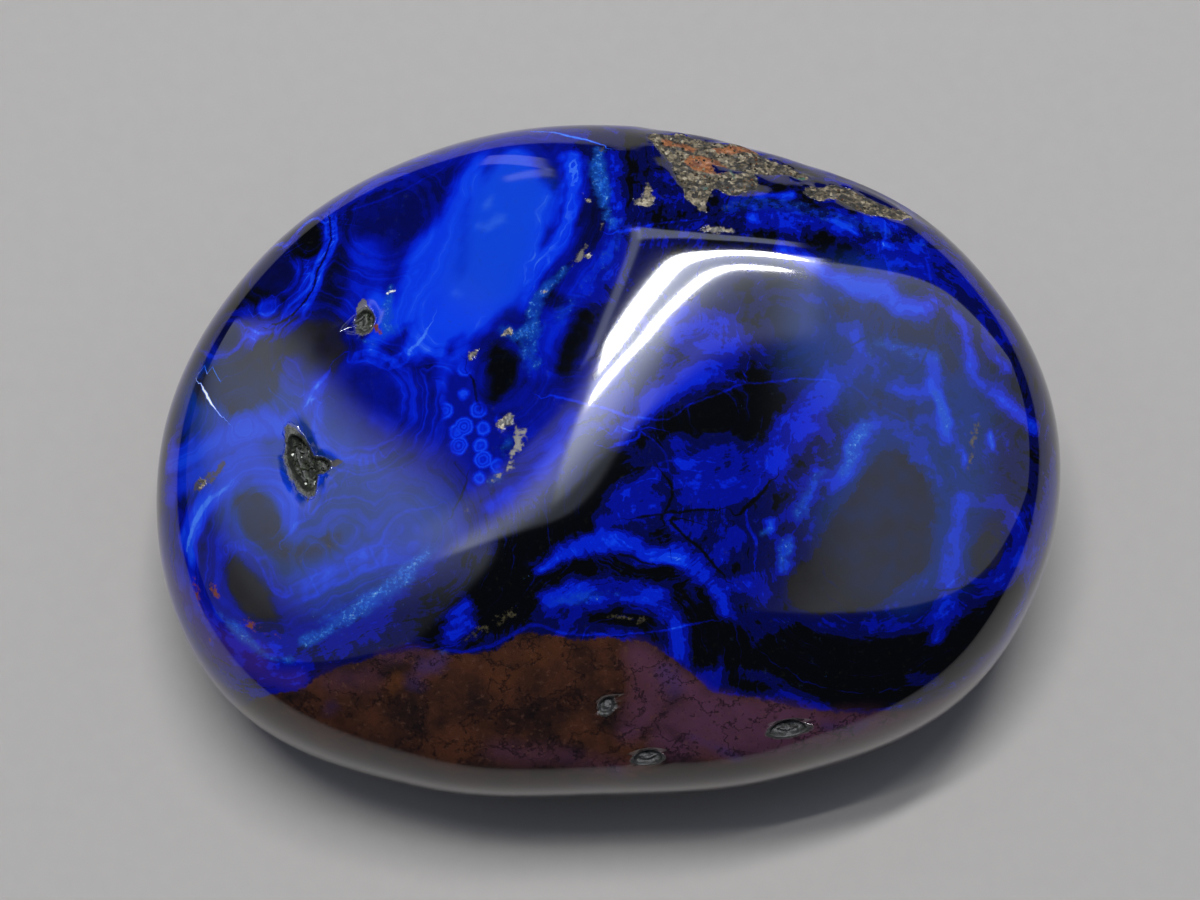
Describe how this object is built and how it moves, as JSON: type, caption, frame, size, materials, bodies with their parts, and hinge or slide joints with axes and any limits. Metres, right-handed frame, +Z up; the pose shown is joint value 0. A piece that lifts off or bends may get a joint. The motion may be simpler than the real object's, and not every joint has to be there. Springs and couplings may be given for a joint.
{
  "type": "polished azurite palm stone",
  "caption": "Smooth freeform palm stone of banded blue azurite, oval from above, with a soft crest, a few open pits and a rough matrix patch on its back edge.",
  "frame": {"origin": "middle of the stone's footprint, on the surface that it lies on", "axes": "+X along the stone's length, +Y towards the edge with the matrix patch, +Z up through its thickness"},
  "size_m": [0.0698, 0.0516, 0.0281],
  "materials": {
    "azurite": "polished"
  },
  "bodies": {
    "root": {"azurite_stone": "azurite"}
  },
  "joints": []
}
